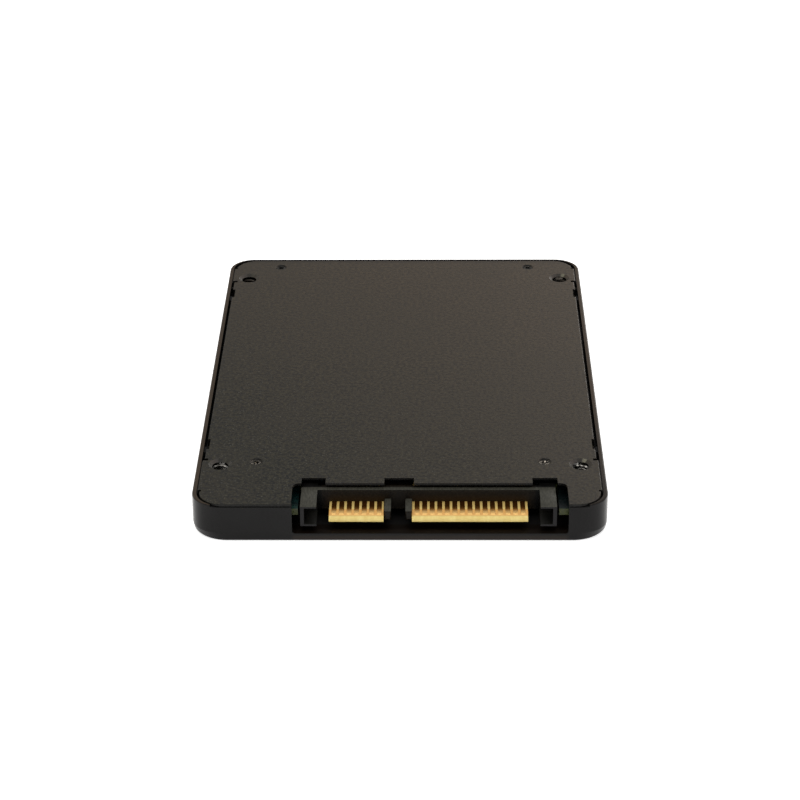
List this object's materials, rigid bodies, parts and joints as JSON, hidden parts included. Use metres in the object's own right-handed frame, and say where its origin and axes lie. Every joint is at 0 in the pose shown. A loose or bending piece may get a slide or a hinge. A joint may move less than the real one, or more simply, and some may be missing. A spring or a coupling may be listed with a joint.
{
  "type": "solid state drive",
  "caption": "Flat 2.5-inch, 7 mm solid state drive: dark moulded case, screwed sheet metal base plate, M3 corner threads and an offset edge connector with two contact tongues.",
  "frame": {"origin": "centre of the 69.85 x 100 mm footprint, on the plane of the underside, which is the face with the blank label", "axes": "+Z out of the sheet metal base plate, +Y from the connector end to the plain end, +X to the right of someone who looks at the connector with the base plate up"},
  "size_m": [0.0698, 0.1, 0.007],
  "materials": {
    "case_plastic": "fine satin, moulded",
    "plate_paint": "fine textured powder coat",
    "block_metal": "tapped, bare",
    "screw_metal": "black oxide, slightly worn",
    "board_screw_metal": "zinc plated",
    "board_laminate": "solder mask over glass epoxy",
    "connector_plastic": "smooth moulded",
    "wafer_plastic": "smooth moulded, natural amber",
    "contact_gold": "gold plated",
    "tab_tin": "tin plated",
    "chip_epoxy": "fine matte moulding compound",
    "oscillator_lid": "satin",
    "fuse_ceramic": "matte",
    "inductor_ferrite": "matte ferrite",
    "tantalum_case": "matte moulded",
    "capacitor_ceramic": "satin",
    "resistor_ceramic": "satin",
    "film_plastic": "thin smooth film",
    "pad_silicone": "soft matte",
    "label_film": "blank satin film"
  },
  "bodies": {
    "root": {"base_plate": "plate_paint", "board_screws": "board_screw_metal", "boot_memory_chip": "chip_epoxy", "buffer_memory_chip": "chip_epoxy", "case_shell": "case_plastic", "ceramic_capacitors": "capacitor_ceramic", "chip_resistors": "resistor_ceramic", "circuit_board": "board_laminate", "connector_hold_downs": "tab_tin", "connector_housing": "connector_plastic", "controller_chip": "chip_epoxy", "cover_screws": "screw_metal", "crystal_oscillator": "oscillator_lid", "flash_memory_1": "chip_epoxy", "flash_memory_2": "chip_epoxy", "flash_memory_3": "chip_epoxy", "flash_memory_4": "chip_epoxy", "flash_memory_5": "chip_epoxy", "flash_memory_6": "chip_epoxy", "flash_memory_7": "chip_epoxy", "flash_memory_8": "chip_epoxy", "hold_up_capacitors": "tantalum_case", "input_fuse": "fuse_ceramic", "insulating_film": "film_plastic", "mounting_block_front_left": "block_metal", "mounting_block_front_right": "block_metal", "mounting_block_rear_left": "block_metal", "mounting_block_rear_right": "block_metal", "power_contacts": "contact_gold", "power_inductors": "inductor_ferrite", "power_wafer": "wafer_plastic", "signal_contacts": "contact_gold", "signal_wafer": "wafer_plastic", "thermal_pad": "pad_silicone", "underside_label": "label_film", "voltage_regulators": "chip_epoxy"}
  },
  "joints": []
}
